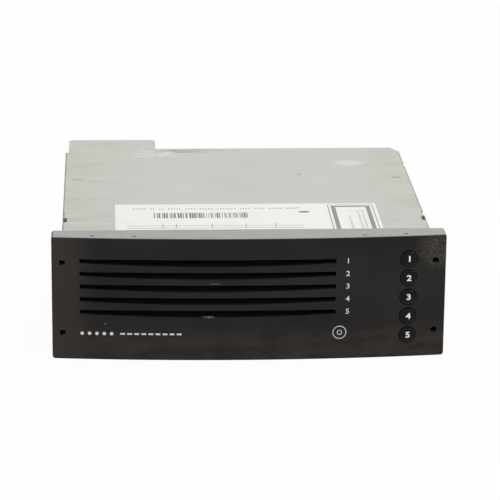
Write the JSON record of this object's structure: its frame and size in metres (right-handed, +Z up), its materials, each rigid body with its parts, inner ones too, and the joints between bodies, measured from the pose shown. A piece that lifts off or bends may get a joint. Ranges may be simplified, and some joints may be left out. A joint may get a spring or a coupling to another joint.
{
  "type": "car cd changer",
  "caption": "In-dash car disc changer with a bowed black fascia, stacked disc slots, a column of round numbered buttons and a galvanised steel body with a play arm and lift inside.",
  "frame": {"origin": "under the middle of the whole unit, on the level of the fascia's lower edge", "axes": "+X to the right as seen from the front, +Y back into the dashboard, +Z up"},
  "size_m": [0.188, 0.1996, 0.0609],
  "materials": {
    "fascia_black": "satin moulded",
    "carrier_black": "matt moulded",
    "button_black": "gloss moulded, white numeral",
    "black_rubber": "matt",
    "board_green": "solder mask",
    "switch_grey": "moulded",
    "chip_black": "moulded",
    "can_blue": "sleeved can",
    "screw_steel": "zinc plated",
    "galvanised_tub": "galvanised sheet",
    "galvanised_lid": "galvanised sheet",
    "label_paper": "printed with plain rules",
    "spring_steel": "bare spring strip",
    "bracket_steel": "zinc plated",
    "socket_ivory": "moulded",
    "pin_gold": "plated",
    "ribbon_white": "flat flexible cable",
    "acetal_white": "moulded",
    "tray_grey": "moulded",
    "ground_steel": "ground",
    "acetal_black": "moulded",
    "gear_natural": "moulded",
    "motor_can": "drawn can",
    "arm_grey": "moulded",
    "table_black": "moulded, rubber top",
    "pickup_zinc": "die cast"
  },
  "bodies": {
    "unit": {"front_panel": "fascia_black", "front_frame": "carrier_black", "dust_lips": "black_rubber", "lift_belt": "black_rubber", "key_board": "board_green", "main_board": "board_green", "key_switches": "switch_grey", "board_leds": "switch_grey", "board_chips": "chip_black", "board_capacitors": "can_blue", "pan_screws": "screw_steel", "cover_screws": "screw_steel", "chassis": "galvanised_tub", "top_cover": "galvanised_lid", "rating_label": "label_paper", "spring_tabs": "spring_steel", "lift_bracket": "bracket_steel", "arm_bracket": "bracket_steel", "board_standoffs": "bracket_steel", "rear_connector": "socket_ivory", "connector_pins": "pin_gold", "ribbon_cable": "ribbon_white", "rack_left": "acetal_white", "rack_right": "acetal_white", "disc_tray_1": "tray_grey", "disc_tray_2": "tray_grey", "disc_tray_3": "tray_grey", "disc_tray_4": "tray_grey", "disc_tray_5": "tray_grey", "guide_posts": "ground_steel", "pivot_post": "ground_steel", "lift_motor": "motor_can", "arm_motor": "motor_can"},
    "button_1": {"button_1": "button_black"},
    "button_2": {"button_2": "button_black"},
    "button_3": {"button_3": "button_black"},
    "button_4": {"button_4": "button_black"},
    "button_5": {"button_5": "button_black"},
    "left_lock": {"lock_spring_left": "spring_steel"},
    "right_lock": {"lock_spring_right": "spring_steel"},
    "carriage": {"carriage": "acetal_black", "loading_motor": "motor_can"},
    "lift_screw": {"lift_screw": "ground_steel", "screw_pulley": "gear_natural"},
    "lift_pulley": {"motor_pulley": "gear_natural"},
    "roller": {"roller_shaft": "ground_steel", "roller_sleeves": "black_rubber", "roller_gear": "gear_natural"},
    "idler": {"idler_gear": "gear_natural"},
    "pinion": {"loading_pinion": "gear_natural"},
    "play_arm": {"swing_arm": "arm_grey", "spindle_motor": "motor_can", "sled_rods": "ground_steel", "sled_motor": "motor_can"},
    "swing_pinion": {"arm_pinion": "gear_natural"},
    "turntable": {"turntable": "table_black"},
    "pickup": {"pickup": "pickup_zinc"},
    "sled_screw": {"sled_screw": "ground_steel"},
    "clamp_arm": {"clamp_arm": "acetal_black"},
    "clamp_disc": {"clamp_disc": "gear_natural"}
  },
  "joints": [
    {"name": "press_1", "type": "slide", "parent": "unit", "child": "button_1", "axis": [0, 1, 0], "range_m": [0, 0.0008], "stiffness_N_per_m": 800, "springref_m": -0.0004},
    {"name": "press_2", "type": "slide", "parent": "unit", "child": "button_2", "axis": [0, 1, 0], "range_m": [0, 0.0008], "stiffness_N_per_m": 800, "springref_m": -0.0004},
    {"name": "press_3", "type": "slide", "parent": "unit", "child": "button_3", "axis": [0, 1, 0], "range_m": [0, 0.0008], "stiffness_N_per_m": 800, "springref_m": -0.0004},
    {"name": "press_4", "type": "slide", "parent": "unit", "child": "button_4", "axis": [0, 1, 0], "range_m": [0, 0.0008], "stiffness_N_per_m": 800, "springref_m": -0.0004},
    {"name": "press_5", "type": "slide", "parent": "unit", "child": "button_5", "axis": [0, 1, 0], "range_m": [0, 0.0008], "stiffness_N_per_m": 800, "springref_m": -0.0004},
    {"name": "left_lock_flex", "type": "hinge", "parent": "unit", "child": "left_lock", "pos_m": [-0.08877, -0.0766, 0.0307], "axis": [0, 0, -1], "range_deg": [0, 6.5], "stiffness_Nm_per_rad": 1.3, "springref_deg": -1.15},
    {"name": "right_lock_flex", "type": "hinge", "parent": "unit", "child": "right_lock", "pos_m": [0.08877, -0.0766, 0.0307], "axis": [0, 0, 1], "range_deg": [0, 6.5], "stiffness_Nm_per_rad": 1.3, "springref_deg": -1.15},
    {"name": "carriage_lift", "type": "slide", "parent": "unit", "child": "carriage", "axis": [0, 0, 1], "range_m": [-0.01264, 0.01264]},
    {"name": "lift_screw_turn", "type": "hinge", "parent": "unit", "child": "lift_screw", "pos_m": [0.078, -0.0726, 0.0307], "axis": [0, 0, 1], "range_deg": [-1140, 1140]},
    {"name": "lift_pulley_turn", "type": "hinge", "parent": "unit", "child": "lift_pulley", "pos_m": [0.078, -0.0606, 0.0081], "axis": [0, 0, 1], "range_deg": [-1140, 1140]},
    {"name": "roller_spin", "type": "hinge", "parent": "carriage", "child": "roller", "pos_m": [0, -0.0746, 0.03351], "axis": [1, 0, 0], "continuous": true},
    {"name": "idler_spin", "type": "hinge", "parent": "carriage", "child": "idler", "pos_m": [0.0483, -0.0676, 0.03351], "axis": [1, 0, 0], "continuous": true},
    {"name": "pinion_spin", "type": "hinge", "parent": "carriage", "child": "pinion", "pos_m": [0.0483, -0.0616, 0.03351], "axis": [1, 0, 0], "continuous": true},
    {"name": "arm_swing", "type": "hinge", "parent": "unit", "child": "play_arm", "pos_m": [0.058, 0.0694, 0.0097], "axis": [0, 0, -1], "range_deg": [0, 47.6]},
    {"name": "swing_pinion_turn", "type": "hinge", "parent": "unit", "child": "swing_pinion", "pos_m": [0.0716, 0.0694, 0.0107], "axis": [0, 0, -1], "range_deg": [-116, 1]},
    {"name": "turntable_spin", "type": "hinge", "parent": "play_arm", "child": "turntable", "pos_m": [0.058, -0.03593, 0.0147], "axis": [0, 0, 1], "continuous": true},
    {"name": "pickup_slide", "type": "slide", "parent": "play_arm", "child": "pickup", "axis": [0, 1, 0], "range_m": [0, 0.034]},
    {"name": "sled_screw_turn", "type": "hinge", "parent": "play_arm", "child": "sled_screw", "pos_m": [0.0735, 0.00407, 0.0121], "axis": [0, 1, 0], "range_deg": [-1, 4090]},
    {"name": "clamp_lower", "type": "hinge", "parent": "play_arm", "child": "clamp_arm", "pos_m": [0.058, 0.0544, 0.0192], "axis": [1, 0, 0], "range_deg": [0, 0.9], "stiffness_Nm_per_rad": 0.5, "springref_deg": -1.15},
    {"name": "clamp_spin", "type": "hinge", "parent": "clamp_arm", "child": "clamp_disc", "pos_m": [0.058, -0.03593, 0.0187], "axis": [0, 0, 1], "continuous": true}
  ],
  "couplings": [
    {"joint": "lift_screw_turn", "follows": "carriage_lift", "rad_per_m": 1570.8},
    {"joint": "lift_pulley_turn", "follows": "carriage_lift", "rad_per_m": 1570.8},
    {"joint": "idler_spin", "follows": "roller_spin", "ratio": -1},
    {"joint": "pinion_spin", "follows": "roller_spin", "ratio": 1.4},
    {"joint": "swing_pinion_turn", "follows": "arm_swing", "ratio": -2.4},
    {"joint": "sled_screw_turn", "follows": "pickup_slide", "rad_per_m": 2094.4}
  ]
}
